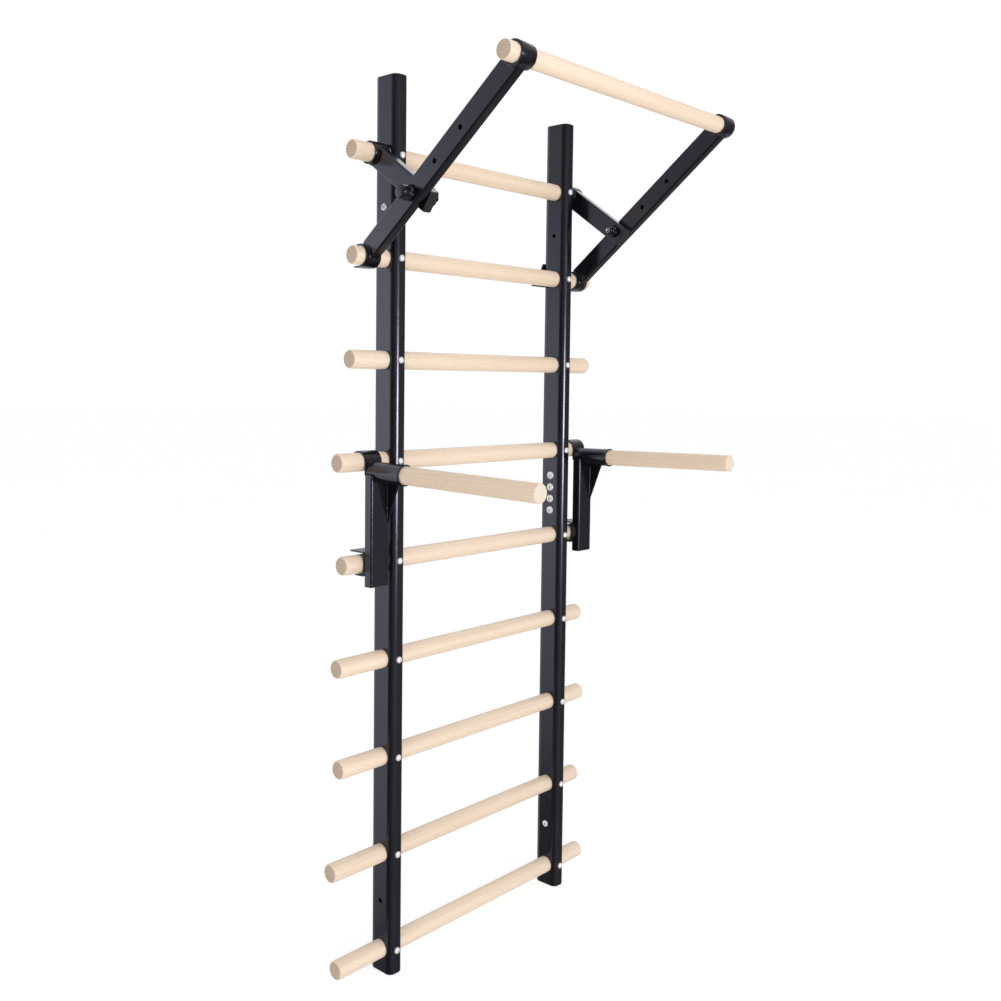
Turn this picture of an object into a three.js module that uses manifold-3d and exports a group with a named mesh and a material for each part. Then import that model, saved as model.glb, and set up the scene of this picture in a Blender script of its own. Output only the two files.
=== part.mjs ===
import * as THREE from 'three';
import { mergeVertices } from 'three/addons/utils/BufferGeometryUtils.js';
import Module from 'manifold-3d';

// Swedish wall bars with a hook-on pull-up bar and two hook-on dip bars.
// Millimetres. The wall is the plane Y = 0, the front faces -Y, the posts stand on Z = 0.

// ---- driving dimensions ----
const GAP = 0.3;                 // play left between touching pieces
const PLATE_T = 4;               // wall bracket plate thickness
const POST_X = 250;              // post centre, left and right of the middle
const POST_W = 34;               // post section along X
const POST_D = 60;               // post section along Y
const POST_R = 13;               // post corner radius
const POST_T = 2;                // post wall
const POST_H = 1714;             // post height
const SEAM_Z = 900;              // joint between lower and upper post half
const SPIGOT = 55;               // spigot length each way from the joint
const RUNG_Y = -(PLATE_T + GAP + POST_D / 2);   // plane of the rung axes
const RUNG_D = 35;               // rung diameter
const RUNG_PITCH = 190;
const RUNG_N = 9;
const RUNG_Z9 = 46;              // lowest rung axis
const RUNG_LEFT = [-348, -346, -351, -379, -368, -379, -374, -392, -379];   // rung 1 (top) to 9
const RUNG_RIGHT = [312, 345, 347, 330, 340, 332, 343, 329, 349];
const RUNG_BORE = 18.2;           // radius of rung holes and closed rings on rungs
const SPLICE_OFFSETS = [39, 13, -13, -39];
const BRACKET_Z = [1471, 141];   // cross-bolt heights, midway between two rungs
const ARM_X = 310;               // pull-up arm centre
const BRACE_X = 289.5;           // pull-up brace centre
const TUBE_H = 40;               // 40 x 20 rectangular tube, tall side
const TUBE_B = 20;
const TUBE_T = 2;
const TUBE_R = 3.5;
const BAR_D = 33;                // pull-up bar
const BAR_Y = -371;              // bar axis from the rung plane
const BAR_Z = 1670;
const BAR_ENDS = [-350, 327];
const BOLT_S = 161.7;            // clamp bolt along the arm, from the rung 2 axis
const ARM_HOLES = [161.7, 239, 316.5];
const BRACE_TAIL = 26;           // brace beyond the clamp bolt
const CLAMP_HEAD = {              // outline of the moulded bolt head, radius and height
  left: [[14.5, 0], [15.5, 1], [15.5, 7.5], [13, 9], [13, 22.4], [12, 24.6], [9, 25.7], [0, 26]],
  right: [[11, 0], [12, 1], [12, 9.4], [11, 11.6], [8, 12.7], [0, 13]],
};
const KNOB = { left: [16.5, 17, 0, 17], right: [14, 8, 9, 19] };   // clamp knob: lobe radius and depth, hub radius and depth
const RING_W = 35;               // ring width along X
const DIP_X = 308;               // dip bar centre
const DIP_W = 45;                // 45 x 20 dip tube, wide side along X
const DIP_AXIS_DZ = -16.5;       // handle axis below the rung 4 axis
const DIP_MOUTH = -109;          // sleeve mouth from the rung plane
const DIP_PITCH = { left: 1.3, right: -1.05 };   // sleeve and handle turned about rung 4, degrees, down is positive
const DIP_HANDLE = { left: [-42, -427], right: [-26, -411] };   // handle from and to, from the rung plane
const HANDLE_D = 33.5;
const DIP_FOOT = 766;            // lower end of the dip tube
const SEG = 20;

const wasm = await Module();
wasm.setup();

const rungZ = (k) => RUNG_Z9 + (RUNG_N - k) * RUNG_PITCH;

// ---- solids ----
function toSolid(geometry) {
  let g = geometry.index ? geometry.toNonIndexed() : geometry.clone();
  for (const name of Object.keys(g.attributes)) if (name !== 'position') g.deleteAttribute(name);
  g = mergeVertices(g, 1e-4);
  const src = g.index.array;
  const p = g.attributes.position.array;
  const tri = [];
  let vol = 0;
  for (let i = 0; i < src.length; i += 3) {
    const [a, b, c] = [src[i], src[i + 1], src[i + 2]];
    if (a === b || b === c || a === c) continue;
    tri.push(a, b, c);
    const A = [p[3 * a], p[3 * a + 1], p[3 * a + 2]];
    const B = [p[3 * b], p[3 * b + 1], p[3 * b + 2]];
    const C = [p[3 * c], p[3 * c + 1], p[3 * c + 2]];
    vol += A[0] * (B[1] * C[2] - B[2] * C[1]) - A[1] * (B[0] * C[2] - B[2] * C[0]) + A[2] * (B[0] * C[1] - B[1] * C[0]);
  }
  if (vol < 0) for (let i = 0; i < tri.length; i += 3) [tri[i + 1], tri[i + 2]] = [tri[i + 2], tri[i + 1]];
  return new wasm.Manifold(new wasm.Mesh({
    numProp: 3, vertProperties: new Float32Array(p), triVerts: new Uint32Array(tri),
  }));
}

const basis = (x, y, z, o) => new THREE.Matrix4()
  .makeBasis(new THREE.Vector3(...x), new THREE.Vector3(...y), new THREE.Vector3(...z))
  .setPosition(...o);
const extrude = (shape, depth, seg = 4) =>
  new THREE.ExtrudeGeometry(shape, { depth, bevelEnabled: false, curveSegments: seg });

function box(x0, x1, y0, y1, z0, z1) {
  const g = new THREE.BoxGeometry(x1 - x0, y1 - y0, z1 - z0);
  return toSolid(g.translate((x0 + x1) / 2, (y0 + y1) / 2, (z0 + z1) / 2));
}
function roundRect(w, h, r) {
  const s = new THREE.Shape();
  const a = w / 2, b = h / 2;
  s.moveTo(a, -b + r);
  s.lineTo(a, b - r);
  s.absarc(a - r, b - r, r, 0, Math.PI / 2);
  s.lineTo(-a + r, b);
  s.absarc(-a + r, b - r, r, Math.PI / 2, Math.PI);
  s.lineTo(-a, -b + r);
  s.absarc(-a + r, -b + r, r, Math.PI, 1.5 * Math.PI);
  s.lineTo(a - r, -b);
  s.absarc(a - r, -b + r, r, 1.5 * Math.PI, 2 * Math.PI);
  return s;
}
const prismZ = (w, d, r, x, y, z0, z1, seg = 4) =>
  toSolid(extrude(roundRect(w, d, r), z1 - z0, seg).translate(x, y, z0));
function rod(r, a, b, seg = SEG) {
  const A = new THREE.Vector3(...a), B = new THREE.Vector3(...b);
  const g = new THREE.CylinderGeometry(r, r, A.distanceTo(B), seg);
  const q = new THREE.Quaternion().setFromUnitVectors(new THREE.Vector3(0, 1, 0), B.clone().sub(A).normalize());
  g.applyQuaternion(q);
  g.translate((A.x + B.x) / 2, (A.y + B.y) / 2, (A.z + B.z) / 2);
  return toSolid(g);
}
const rodX = (r, x0, x1, y, z, seg) => rod(r, [x0, y, z], [x1, y, z], seg);
const rodY = (r, y0, y1, x, z, seg) => rod(r, [x, y0, z], [x, y1, z], seg);
// a turned piece: profile in (radius, height), height along dir from point at
function turned(profile, at, dir, seg) {
  const g = new THREE.LatheGeometry(profile.map(([r, h]) => new THREE.Vector2(r, h)), seg);
  g.applyQuaternion(new THREE.Quaternion().setFromUnitVectors(new THREE.Vector3(0, 1, 0), new THREE.Vector3(...dir)));
  return toSolid(g.translate(...at));
}
// a plate drawn in (y, z), running from x0 to x1
function plateX(points, x0, x1, seg = 6) {
  const s = points instanceof THREE.Shape ? points : new THREE.Shape(points.map(([y, z]) => new THREE.Vector2(y, z)));
  return toSolid(extrude(s, x1 - x0, seg).applyMatrix4(basis([0, 1, 0], [0, 0, 1], [1, 0, 0], [x0, 0, 0])));
}
// a plate drawn in (x, z), running from y1 forward to y0
function plateY(points, y0, y1) {
  const s = new THREE.Shape(points.map(([x, z]) => new THREE.Vector2(x, z)));
  return toSolid(extrude(s, y1 - y0).applyMatrix4(basis([1, 0, 0], [0, 0, 1], [0, -1, 0], [0, y1, 0])));
}
// a rectangular tube section in the YZ plane, from s0 to s1 along (dy, dz) starting at (y, z)
function beam(h, b, r, x, y, z, dy, dz, s0, s1) {
  return toSolid(extrude(roundRect(h, b, r), s1 - s0, 2).applyMatrix4(
    basis([0, -dz, dy], [1, 0, 0], [0, dy, dz], [x, y + dy * s0, z + dz * s0])));
}
const sum = (...s) => s.reduce((a, b) => a.add(b));
const cut = (a, ...s) => s.reduce((m, b) => m.subtract(b), a);

// ---- materials ----
const paint = () => new THREE.MeshStandardMaterial({ color: 0x17181b, roughness: 0.28, metalness: 0.25 });
const wood = () => new THREE.MeshStandardMaterial({ color: 0xe9cfae, roughness: 0.5, metalness: 0 });
const zinc = () => new THREE.MeshStandardMaterial({ color: 0xb8bbc0, roughness: 0.35, metalness: 0.9 });
const plastic = () => new THREE.MeshStandardMaterial({ color: 0x131314, roughness: 0.5, metalness: 0 });

const group = new THREE.Group();
group.name = 'swedish_wall_bars';
function put(name, solid, material) {
  const m = solid.getMesh();
  const np = m.numProp;
  const pos = new Float32Array((m.vertProperties.length / np) * 3);
  for (let i = 0, j = 0; i < m.vertProperties.length; i += np, j += 3) {
    pos[j] = m.vertProperties[i];
    pos[j + 1] = m.vertProperties[i + 1];
    pos[j + 2] = m.vertProperties[i + 2];
  }
  const g = new THREE.BufferGeometry();
  g.setAttribute('position', new THREE.BufferAttribute(pos, 3));
  g.setIndex(new THREE.BufferAttribute(new Uint32Array(m.triVerts), 1));
  g.computeVertexNormals();
  const mesh = new THREE.Mesh(g, material);
  mesh.name = name;
  group.add(mesh);
}

const SIDES = [['left', -1], ['right', 1]];

// ---- posts: two halves each, the lower one carries the spigot ----
for (const [side, sx] of SIDES) {
  const x = sx * POST_X;
  const tube = (z0, z1, end) => {
    const inner = prismZ(POST_W - 2 * POST_T, POST_D - 2 * POST_T, POST_R - POST_T, x, RUNG_Y,
      end === 'bottom' ? z0 + 3 : z0 - 1, end === 'top' ? z1 - 3 : z1 + 1);
    return cut(prismZ(POST_W, POST_D, POST_R, x, RUNG_Y, z0, z1), inner);
  };
  const bores = (k0, k1) => {
    const list = [];
    for (let k = k0; k <= k1; k++) {
      list.push(rodX(RUNG_BORE, x - 20, x + 20, RUNG_Y, rungZ(k)));
      list.push(rodY(2.8, RUNG_Y - 35, RUNG_Y - 20, x, rungZ(k), 8));
    }
    return list;
  };
  const inside = x - sx * POST_W / 2;     // inner face of the post
  const outside = x + sx * POST_W / 2;
  const spliceHoles = (offsets) => offsets.map((dz) => rodX(4.5, inside - sx * 2, x - sx * 1, RUNG_Y, SEAM_Z + dz, 12));
  const bracketCuts = (z) => [
    rodX(4.6, x - 20, x + 20, RUNG_Y, z, 12),
    box(x - 2.6, x + 2.6, RUNG_Y + POST_D / 2 - 4, RUNG_Y + POST_D / 2 + 2, z - 24, z + 24),
  ];

  let spigot = sum(
    prismZ(POST_W - 2 * POST_T + 0.4, POST_D - 2 * POST_T + 0.4, POST_R - POST_T, x, RUNG_Y, SEAM_Z - SPIGOT, SEAM_Z - 5),
    prismZ(POST_W - 2 * POST_T - 2 * GAP, POST_D - 2 * POST_T - 2 * GAP, POST_R - POST_T, x, RUNG_Y, SEAM_Z - 6, SEAM_Z + SPIGOT),
  );
  spigot = cut(spigot, prismZ(POST_W - 2 * POST_T - 5.6, POST_D - 2 * POST_T - 5.6, POST_R - POST_T - 2.5, x, RUNG_Y, SEAM_Z - SPIGOT - 1, SEAM_Z + SPIGOT + 1));

  put(`post_${side}_lower`, cut(tube(0, SEAM_Z - GAP, 'bottom').add(spigot),
    ...bores(5, 9), ...spliceHoles(SPLICE_OFFSETS), ...bracketCuts(BRACKET_Z[1])), paint());
  put(`post_${side}_upper`, cut(tube(SEAM_Z, POST_H, 'top'),
    ...bores(1, 4), ...spliceHoles(SPLICE_OFFSETS.slice(0, 2)), ...bracketCuts(BRACKET_Z[0])), paint());

  // button-head bolts of the splice, on the inner face
  SPLICE_OFFSETS.forEach((dz, i) => put(`splice_bolt_${side}_${i + 1}`, turned(
    [[0, -11], [4, -11], [4, 0], [8.5, 0], [8.5, 1.5], [6, 4.4], [0, 5]],
    [inside - sx * GAP, RUNG_Y, SEAM_Z + dz], [-sx, 0, 0], 12), zinc()));

  // pan-head screws that hold the rungs
  for (let k = 1; k <= RUNG_N; k++) put(`rung_screw_${side}_${k}`, turned(
    [[0, -26], [2.2, -22], [2.2, 0], [6.2, 0], [6.2, 1.3], [4.4, 4.2], [0, 4.6]],
    [x, RUNG_Y - POST_D / 2 - GAP, rungZ(k)], [0, -1, 0], 8), zinc());

  // wall brackets: plate on the wall, tab through the slot in the back of the post
  for (const [level, z] of [['upper', BRACKET_Z[0]], ['lower', BRACKET_Z[1]]]) {
    const X = (v) => x + sx * v;         // v counts outward from the post centre
    const lo = level === 'upper' ? 1360 : z - 60;
    const hi = z + 60;
    let plate = box(x - 3, x + 13, -PLATE_T, 0, lo, hi);
    if (level === 'upper') {
      const ear = [[X(1), 1360], [X(-51), 1360], [X(-51), 1364], [X(-40), 1364], [X(-14), 1412], [X(1), 1412]];
      plate = plate.add(plateY(sx > 0 ? ear.slice().reverse() : ear, -PLATE_T, 0));
    }
    const tab = box(x - 2, x + 2, RUNG_Y - 12, -PLATE_T + 1, z - 21, z + 21);
    const holes = [rodY(4.2, -8, 2, x + 5, hi - 14, 12),
      level === 'upper' ? rodY(4.2, -8, 2, X(-27), 1376, 12) : rodY(4.2, -8, 2, x + 5, lo + 14, 12)];
    put(`wall_bracket_${side}_${level}`, cut(plate.add(tab), rodX(4.5, x - 6, x + 6, RUNG_Y, z, 12), ...holes), paint());
    // the upper cross bolts go in from outside, the lower ones from inside
    const face = level === 'upper' ? outside : inside;
    const dir = level === 'upper' ? sx : -sx;
    put(`bracket_bolt_${side}_${level}`, turned(
      [[0, -24], [4, -24], [4, 0], [7, 0], [7, 1.4], [4.8, 4], [0, 4.5]],
      [face + dir * GAP, RUNG_Y, z], [dir, 0, 0], 10), zinc());
  }
}

// ---- rungs ----
for (let k = 1; k <= RUNG_N; k++) {
  const R = RUNG_D / 2, a = RUNG_LEFT[k - 1], L = RUNG_RIGHT[k - 1] - a;
  const body = turned([[0, 0], [R - 2.5, 0], [R, 2.5], [R, L - 2.5], [R - 2.5, L], [0, L]],
    [a, RUNG_Y, rungZ(k)], [1, 0, 0], SEG);
  put(`rung_${k}`, cut(body, ...SIDES.map(([, sx]) => rodY(2.6, RUNG_Y - 25, RUNG_Y - 3, sx * POST_X, rungZ(k), 8))), wood());
}

// ---- pull-up bar unit: rings on rung 1, forks on rung 2 ----
const r1 = [RUNG_Y, rungZ(1)];
const r2 = [RUNG_Y, rungZ(2)];
const barAxis = [RUNG_Y + BAR_Y, BAR_Z];
const armLen = Math.hypot(barAxis[0] - r2[0], barAxis[1] - r2[1]);
const armDir = [(barAxis[0] - r2[0]) / armLen, (barAxis[1] - r2[1]) / armLen];
const bolt = [r2[0] + armDir[0] * BOLT_S, r2[1] + armDir[1] * BOLT_S];
const braceLen = Math.hypot(bolt[0] - r1[0], bolt[1] - r1[1]);
const braceDir = [(bolt[0] - r1[0]) / braceLen, (bolt[1] - r1[1]) / braceLen];

function uShape(y, z, r, t, lipTop, lipBottom) {
  const s = new THREE.Shape();
  s.moveTo(y + lipTop, z + r + t);
  s.lineTo(y, z + r + t);
  s.absarc(y, z, r + t, Math.PI / 2, 1.5 * Math.PI, false);
  s.lineTo(y + lipBottom, z - r - t);
  s.lineTo(y + lipBottom, z - r);
  s.lineTo(y, z - r);
  s.absarc(y, z, r, 1.5 * Math.PI, Math.PI / 2, true);
  s.lineTo(y + lipTop, z + r);
  return s;
}

for (const [side, sx] of SIDES) {
  const ax = sx * ARM_X, bx = sx * BRACE_X;
  // arm
  let arm = beam(TUBE_H, TUBE_B, TUBE_R, ax, r2[0], r2[1], ...armDir, 20, armLen - 16);
  arm = cut(arm, beam(TUBE_H - 2 * TUBE_T, TUBE_B - 2 * TUBE_T, TUBE_R - TUBE_T, ax, r2[0], r2[1], ...armDir, 24, armLen - 22));
  arm = sum(arm,
    plateX(uShape(r2[0], r2[1], 18.4, 3, 8, 15), ax - RING_W / 2, ax + RING_W / 2, 12),
    rodX(21.5, ax - RING_W / 2, ax + RING_W / 2, ...barAxis));
  arm = cut(arm, rodX(BAR_D / 2 + 0.5, ax - 25, ax + 25, ...barAxis), rodX(18.4, ax - 25, ax + 25, ...r2),
    ...ARM_HOLES.map((s) => rodX(s === BOLT_S ? 5.5 : 4.8, ax - 15, ax + 15, r2[0] + armDir[0] * s, r2[1] + armDir[1] * s, 12)));
  put(`pullup_arm_${side}`, arm, paint());
  // brace
  let brace = beam(TUBE_H, TUBE_B, TUBE_R, bx, r1[0], r1[1], ...braceDir, 15.5, braceLen + BRACE_TAIL);
  brace = cut(brace, beam(TUBE_H - 2 * TUBE_T, TUBE_B - 2 * TUBE_T, TUBE_R - TUBE_T, bx, r1[0], r1[1], ...braceDir, 24.6, braceLen + BRACE_TAIL - 3));
  brace = brace.add(rodX(21.4, bx - RING_W / 2, bx + RING_W / 2, ...r1));
  brace = cut(brace, rodX(RUNG_BORE, bx - 25, bx + 25, ...r1), rodX(5.5, bx - 15, bx + 15, ...bolt, 12));
  put(`pullup_brace_${side}`, brace, paint());
  // clamp bolt: moulded round head outside the arm, stud through arm and brace
  const face = ax + sx * (TUBE_B / 2 + GAP);
  const studEnd = sx * 257;
  const L = Math.abs(studEnd - face);
  put(`clamp_bolt_${side}`, turned(
    [[0, -L], [3.8, -L], [5, -L + 1.2], [5, 0], ...CLAMP_HEAD[side]],
    [face, bolt[0], bolt[1]], [sx, 0, 0], 20), plastic());
  // clamp knob: lobed nut on the stud against the brace, the right one with a slim hub
  const inner = bx - sx * (TUBE_B / 2 + GAP);
  const [kr, kl, hr, hl] = KNOB[side];
  const lobes = 7, pts = [];
  for (let i = 0; i < lobes * 4; i++) {
    const t = (i / (lobes * 4)) * 2 * Math.PI;
    const rr = kr - 0.16 * kr * (i % 4 === 2 ? 1 : i % 4 === 0 ? 0 : 0.4);
    pts.push([bolt[0] + rr * Math.cos(t), bolt[1] + rr * Math.sin(t)]);
  }
  const span = (d) => [inner, inner - sx * d].sort((p, q) => p - q);
  let knob = plateX(pts, ...span(kl));
  if (hr) knob = knob.add(rodX(hr, ...span(hl), ...bolt));
  put(`clamp_knob_${side}`, cut(knob, rodX(5.4, inner - 30, inner + 30, ...bolt, 16)), plastic());
}
put('pullup_bar', turned([[0, 0], [BAR_D / 2 - 2, 0], [BAR_D / 2, 2.2], [BAR_D / 2, BAR_ENDS[1] - BAR_ENDS[0] - 2.2],
  [BAR_D / 2 - 2, BAR_ENDS[1] - BAR_ENDS[0]], [0, BAR_ENDS[1] - BAR_ENDS[0]]], [BAR_ENDS[0], ...barAxis], [1, 0, 0], SEG), wood());

// ---- dip bars: hook over rung 4, fork on rung 5 ----
// a hook drawn in (y, z), open at the bottom, its legs running down from the axis
function hookShape(y, z, r, t, front, back) {
  const s = new THREE.Shape();
  s.moveTo(y + r, z - back);
  s.lineTo(y + r + t, z - back);
  s.lineTo(y + r + t, z);
  s.absarc(y, z, r + t, 0, Math.PI, false);
  s.lineTo(y - r - t, z - front);
  s.lineTo(y - r, z - front);
  s.lineTo(y - r, z);
  s.absarc(y, z, r, Math.PI, 0, true);
  return s;
}
const r4 = [RUNG_Y, rungZ(4)];
const r5 = [RUNG_Y, rungZ(5)];
const gripZ = r4[1] + DIP_AXIS_DZ;
for (const [side, sx] of SIDES) {
  const x = sx * DIP_X;
  const x0 = x - DIP_W / 2, x1 = x + DIP_W / 2;
  const Y = (v) => RUNG_Y + v;
  const tubeY = Y(-31);
  const [from, to] = DIP_HANDLE[side];
  // the sleeve and the handle in it are turned a little about the rung 4 axis
  const pitched = (s) => s.translate([0, -r4[0], -r4[1]]).rotate([DIP_PITCH[side], 0, 0]).translate([0, r4[0], r4[1]]);
  let tube = prismZ(DIP_W, TUBE_B, TUBE_R, x, tubeY, DIP_FOOT, gripZ - 4, 2);
  tube = cut(tube, prismZ(DIP_W - 2 * TUBE_T, TUBE_B - 2 * TUBE_T, TUBE_R - TUBE_T, x, tubeY, DIP_FOOT + 3, gripZ - 24, 2),
    rod(3, [x, tubeY, DIP_FOOT - 2], [x, tubeY, DIP_FOOT + 6], 10));
  const sleeve = rodY(19, Y(DIP_MOUTH + 3), Y(-19), x, gripZ).add(rodY(20, Y(DIP_MOUTH), Y(DIP_MOUTH + 3.5), x, gripZ));
  // gusset plate on the right edge of the tube, on both sides
  const gusset = plateX([[Y(-40), gripZ - 8], [Y(-40), 884], [Y(-41.5), 884], [Y(-72), 962], [Y(-72), gripZ - 8]], x + 16, x + 20);
  const fork = plateX([[Y(-22), r5[1] - 21.4], [Y(4), r5[1] - 21.4], [Y(4), r5[1] - 18.4], [Y(-18.4), r5[1] - 18.4],
    [Y(-18.4), r5[1] + 22], [Y(19), r5[1] + 22], [Y(19), r5[1] + 25], [Y(-22), r5[1] + 25]], x0, x1);
  const hook = plateX(hookShape(...r4, RUNG_BORE, 3, 24, 12), x - 20, x + 20, 12);
  let frame = sum(tube, pitched(sleeve), hook, gusset, fork);
  frame = cut(frame, rodX(RUNG_BORE - 0.02, x0 - 5, x1 + 5, ...r4), pitched(rodY(17.3, Y(DIP_MOUTH - 5), Y(from + 1), x, gripZ)));
  put(`dip_bracket_${side}`, frame, paint());
  const R = HANDLE_D / 2, H = from - to;
  put(`dip_handle_${side}`, pitched(turned([[0, 0], [R - 1, 0], [R, 1], [R, H - 4.5], [R - 1.4, H - 1.6], [R - 4.5, H], [0, H]],
    [x, Y(from), gripZ], [0, -1, 0], SEG)), wood());
}

export default group;
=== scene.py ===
import bpy
import bmesh
import math
from mathutils import Matrix, Vector


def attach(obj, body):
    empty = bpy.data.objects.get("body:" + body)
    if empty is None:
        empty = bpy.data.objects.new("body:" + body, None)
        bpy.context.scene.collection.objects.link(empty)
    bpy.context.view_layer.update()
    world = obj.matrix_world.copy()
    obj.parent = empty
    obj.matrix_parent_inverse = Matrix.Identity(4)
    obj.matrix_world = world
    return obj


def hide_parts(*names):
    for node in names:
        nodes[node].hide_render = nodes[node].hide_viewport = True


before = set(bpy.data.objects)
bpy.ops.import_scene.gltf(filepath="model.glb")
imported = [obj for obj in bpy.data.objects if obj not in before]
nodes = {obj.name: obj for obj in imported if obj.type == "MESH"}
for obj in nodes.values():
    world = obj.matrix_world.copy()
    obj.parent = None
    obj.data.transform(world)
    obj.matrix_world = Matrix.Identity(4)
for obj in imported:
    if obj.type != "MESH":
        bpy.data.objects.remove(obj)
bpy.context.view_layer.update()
scene = bpy.context.scene
MM = 0.001

# ------------------------------------------------------------------ dimensions (mm, same frame as the CAD)
RUNG_Y = -34.3
RUNG_R = 17.5
POST_X, POST_W, POST_D, POST_R, POST_T = 250.0, 34.0, 60.0, 13.0, 2.0
POST_H, SEAM_Z = 1714.0, 900.0
RUNG_LEFT = [-348, -346, -351, -379, -368, -379, -374, -392, -379]
RUNG_RIGHT = [312, 345, 347, 330, 340, 332, 343, 329, 349]
SPLICE = [39, 13, -13, -39]
BRACKET_Z = {"upper": 1471.0, "lower": 141.0}
ARM_X, BRACE_X, DIP_X = 310.0, 289.5, 308.0
TUBE_H, TUBE_B, TUBE_T, TUBE_R = 40.0, 20.0, 2.0, 3.5
DIP_W = 45.0
DIP_PITCH = {"left": 1.3, "right": -1.05}
DIP_HANDLE = {"left": (42.0, 426.95), "right": (26.0, 411.0)}
BAR_R, BAR_ENDS = 16.5, (-350.0, 327.0)
HANDLE_R = 16.75
SIDES = (("left", -1), ("right", 1))


def rung_z(k):
    return 46.0 + (9 - k) * 190.0


R1 = Vector((0, RUNG_Y, rung_z(1)))
R2 = Vector((0, RUNG_Y, rung_z(2)))
R4 = Vector((0, RUNG_Y, rung_z(4)))
R5 = Vector((0, RUNG_Y, rung_z(5)))
BAR = Vector((0, RUNG_Y - 371.0, 1670.0))
ARM_LEN = (BAR - R2).length
ARM_DIR = (BAR - R2).normalized()
BOLT = R2 + ARM_DIR * 161.7
BRACE_LEN = (BOLT - R1).length
BRACE_DIR = (BOLT - R1).normalized()
BRACE_TAIL = 26.0
GRIP_Z = R4.z - 16.5


def grip_axis(side):
    """Start point and direction of a dip handle, turned about the rung 4 axis."""
    a = math.radians(DIP_PITCH[side])
    sx = -1 if side == "left" else 1
    return (Vector((sx * DIP_X, R4.y + 16.5 * math.sin(a), R4.z - 16.5 * math.cos(a))),
            Vector((0, -math.cos(a), -math.sin(a))), Vector((0, math.sin(a), -math.cos(a))))


# ------------------------------------------------------------------ material helpers
class Nodes:
    def __init__(self, tree):
        self.t = tree

    def add(self, kind, **values):
        n = self.t.nodes.new(kind)
        for key, value in values.items():
            if key.startswith("in_"):
                continue
            setattr(n, key, value)
        return n

    def link(self, a, b):
        self.t.links.new(a, b)

    def math(self, op, a, b=None, clamp=False):
        n = self.add("ShaderNodeMath", operation=op, use_clamp=clamp)
        for i, v in enumerate((a, b)):
            if v is None:
                continue
            if isinstance(v, (int, float)):
                n.inputs[i].default_value = v
            else:
                self.link(v, n.inputs[i])
        return n.outputs[0]

    def mix(self, fac, a, b, blend="MIX"):
        n = self.add("ShaderNodeMix", data_type="RGBA", blend_type=blend)
        n.clamp_factor = True
        for socket, v in ((n.inputs[0], fac), (n.inputs[6], a), (n.inputs[7], b)):
            if isinstance(v, (int, float)):
                socket.default_value = v
            elif isinstance(v, tuple):
                socket.default_value = (*v, 1.0)
            else:
                self.link(v, socket)
        return n.outputs[2]

    def ramp(self, fac, stops):
        n = self.add("ShaderNodeValToRGB")
        e = n.color_ramp.elements
        while len(e) > 1:
            e.remove(e[-1])
        e[0].position, e[0].color = stops[0][0], (*stops[0][1], 1)
        for p, c in stops[1:]:
            s = e.new(p)
            s.color = (*c, 1)
        self.link(fac, n.inputs[0])
        return n.outputs[0]

    def range(self, v, a, b, c, d):
        n = self.add("ShaderNodeMapRange")
        n.clamp = True
        self.link(v, n.inputs[0])
        for i, x in zip((1, 2, 3, 4), (a, b, c, d)):
            n.inputs[i].default_value = x
        return n.outputs[0]

    def noise(self, vector, scale, detail=3.0, rough=0.5, w=None, dims="3D", distortion=0.0):
        n = self.add("ShaderNodeTexNoise", noise_dimensions="4D" if w is not None else dims)
        n.inputs["Scale"].default_value = scale
        n.inputs["Detail"].default_value = detail
        n.inputs["Roughness"].default_value = rough
        n.inputs["Distortion"].default_value = distortion
        self.link(vector, n.inputs["Vector"])
        if w is not None:
            self.link(w, n.inputs["W"])
        return n.outputs["Fac"]

    def mapping(self, vector, scale=(1, 1, 1), location=(0, 0, 0)):
        n = self.add("ShaderNodeMapping")
        n.inputs["Scale"].default_value = scale
        n.inputs["Location"].default_value = location
        self.link(vector, n.inputs["Vector"])
        return n.outputs[0]

    def bump(self, height, strength, distance, normal=None):
        n = self.add("ShaderNodeBump")
        n.inputs["Strength"].default_value = strength
        n.inputs["Distance"].default_value = distance
        self.link(height, n.inputs["Height"])
        if normal is not None:
            self.link(normal, n.inputs["Normal"])
        return n.outputs[0]


def new_material(name):
    m = bpy.data.materials.new(name)
    m.use_nodes = True
    t = m.node_tree
    t.nodes.clear()
    n = Nodes(t)
    out = n.add("ShaderNodeOutputMaterial")
    bsdf = n.add("ShaderNodeBsdfPrincipled")
    n.link(bsdf.outputs[0], out.inputs[0])
    return m, n, bsdf


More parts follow.
